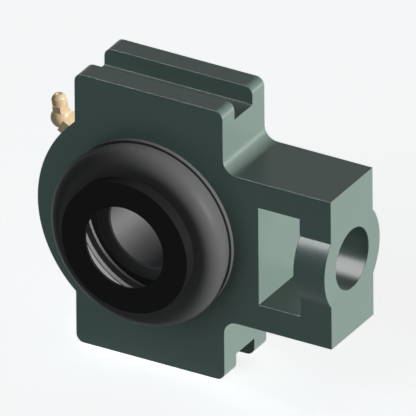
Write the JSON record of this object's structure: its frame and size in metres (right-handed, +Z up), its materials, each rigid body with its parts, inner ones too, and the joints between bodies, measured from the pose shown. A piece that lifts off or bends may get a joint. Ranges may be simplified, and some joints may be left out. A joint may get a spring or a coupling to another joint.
{
  "type": "take up bearing unit",
  "caption": "Cast take-up bearing housing with two guide grooves, nut window and screw boss, holding a self-aligning insert bearing between sealed covers, with an elbow grease fitting.",
  "frame": {"origin": "centre of the spherical seat, on the shaft's axis", "axes": "+X along the take-up travel towards the adjusting screw; +Y along the shaft's axis, away from the short end of the inner ring; +Z up, from one guide groove to the other"},
  "size_m": [0.1154, 0.0616, 0.102],
  "materials": {
    "housing_paint": "grey-green paint on cast iron",
    "cover_paint": "black paint on pressed steel",
    "shaft_seal_rubber": "black rubber",
    "bearing_seal_rubber": "black rubber on a steel back",
    "bearing_steel": "ground",
    "black_oxide_steel": "black oxide",
    "slinger_steel": "pressed, oiled",
    "cage_steel": "pressed",
    "ball_steel": "polished",
    "spring_steel": "drawn wire",
    "brass": "turned"
  },
  "bodies": {
    "housing": {"housing": "housing_paint", "cover_front": "cover_paint", "cover_back": "cover_paint", "cover_seal_front": "shaft_seal_rubber", "cover_seal_back": "shaft_seal_rubber", "grease_fitting_elbow": "brass", "grease_nipple": "brass", "grease_check_spring": "spring_steel"},
    "insert": {"outer_ring": "bearing_steel", "bearing_seal_front": "bearing_seal_rubber", "bearing_seal_back": "bearing_seal_rubber"},
    "rotor": {"inner_ring": "bearing_steel", "set_screws": "black_oxide_steel", "slinger_front": "slinger_steel", "slinger_back": "slinger_steel"},
    "cage": {"cage_front": "cage_steel", "cage_back": "cage_steel", "cage_rivets": "cage_steel"},
    "check_ball": {"grease_check_ball": "ball_steel"},
    "ball_1": {"ball_1": "ball_steel"},
    "ball_2": {"ball_2": "ball_steel"},
    "ball_3": {"ball_3": "ball_steel"},
    "ball_4": {"ball_4": "ball_steel"},
    "ball_5": {"ball_5": "ball_steel"},
    "ball_6": {"ball_6": "ball_steel"},
    "ball_7": {"ball_7": "ball_steel"},
    "ball_8": {"ball_8": "ball_steel"},
    "ball_9": {"ball_9": "ball_steel"}
  },
  "joints": [
    {"name": "insert_tilt", "type": "hinge", "parent": "housing", "child": "insert", "pos_m": [0, 0, 0], "axis": [0, 0, 1], "range_deg": [-1, 1]},
    {"name": "shaft_spin", "type": "hinge", "parent": "insert", "child": "rotor", "pos_m": [0, 0, 0], "axis": [0, 1, 0], "continuous": true},
    {"name": "cage_spin", "type": "hinge", "parent": "insert", "child": "cage", "pos_m": [0, 0, 0], "axis": [0, 1, 0], "continuous": true},
    {"name": "ball_1_spin", "type": "hinge", "parent": "cage", "child": "ball_1", "pos_m": [0, 0, 0.023], "axis": [0, 1, 0], "continuous": true},
    {"name": "ball_2_spin", "type": "hinge", "parent": "cage", "child": "ball_2", "pos_m": [-0.01478, 0, 0.01762], "axis": [0, 1, 0], "continuous": true},
    {"name": "ball_3_spin", "type": "hinge", "parent": "cage", "child": "ball_3", "pos_m": [-0.02265, 0, 0.00399], "axis": [0, 1, 0], "continuous": true},
    {"name": "ball_4_spin", "type": "hinge", "parent": "cage", "child": "ball_4", "pos_m": [-0.01992, 0, -0.0115], "axis": [0, 1, 0], "continuous": true},
    {"name": "ball_5_spin", "type": "hinge", "parent": "cage", "child": "ball_5", "pos_m": [-0.00787, 0, -0.02161], "axis": [0, 1, 0], "continuous": true},
    {"name": "ball_6_spin", "type": "hinge", "parent": "cage", "child": "ball_6", "pos_m": [0.00787, 0, -0.02161], "axis": [0, 1, 0], "continuous": true},
    {"name": "ball_7_spin", "type": "hinge", "parent": "cage", "child": "ball_7", "pos_m": [0.01992, 0, -0.0115], "axis": [0, 1, 0], "continuous": true},
    {"name": "ball_8_spin", "type": "hinge", "parent": "cage", "child": "ball_8", "pos_m": [0.02265, 0, 0.00399], "axis": [0, 1, 0], "continuous": true},
    {"name": "ball_9_spin", "type": "hinge", "parent": "cage", "child": "ball_9", "pos_m": [0.01478, 0, 0.01762], "axis": [0, 1, 0], "continuous": true},
    {"name": "check_ball_slide", "type": "slide", "parent": "housing", "child": "check_ball", "axis": [0.1564, 0, -0.9877], "range_m": [0, 0.0008], "stiffness_N_per_m": 60, "deforming": ["grease_check_spring"]}
  ],
  "couplings": [
    {"joint": "cage_spin", "follows": "shaft_spin", "ratio": 0.39647},
    {"joint": "ball_1_spin", "follows": "shaft_spin", "ratio": -2.3112},
    {"joint": "ball_2_spin", "follows": "shaft_spin", "ratio": -2.3112},
    {"joint": "ball_3_spin", "follows": "shaft_spin", "ratio": -2.3112},
    {"joint": "ball_4_spin", "follows": "shaft_spin", "ratio": -2.3112},
    {"joint": "ball_5_spin", "follows": "shaft_spin", "ratio": -2.3112},
    {"joint": "ball_6_spin", "follows": "shaft_spin", "ratio": -2.3112},
    {"joint": "ball_7_spin", "follows": "shaft_spin", "ratio": -2.3112},
    {"joint": "ball_8_spin", "follows": "shaft_spin", "ratio": -2.3112},
    {"joint": "ball_9_spin", "follows": "shaft_spin", "ratio": -2.3112}
  ]
}
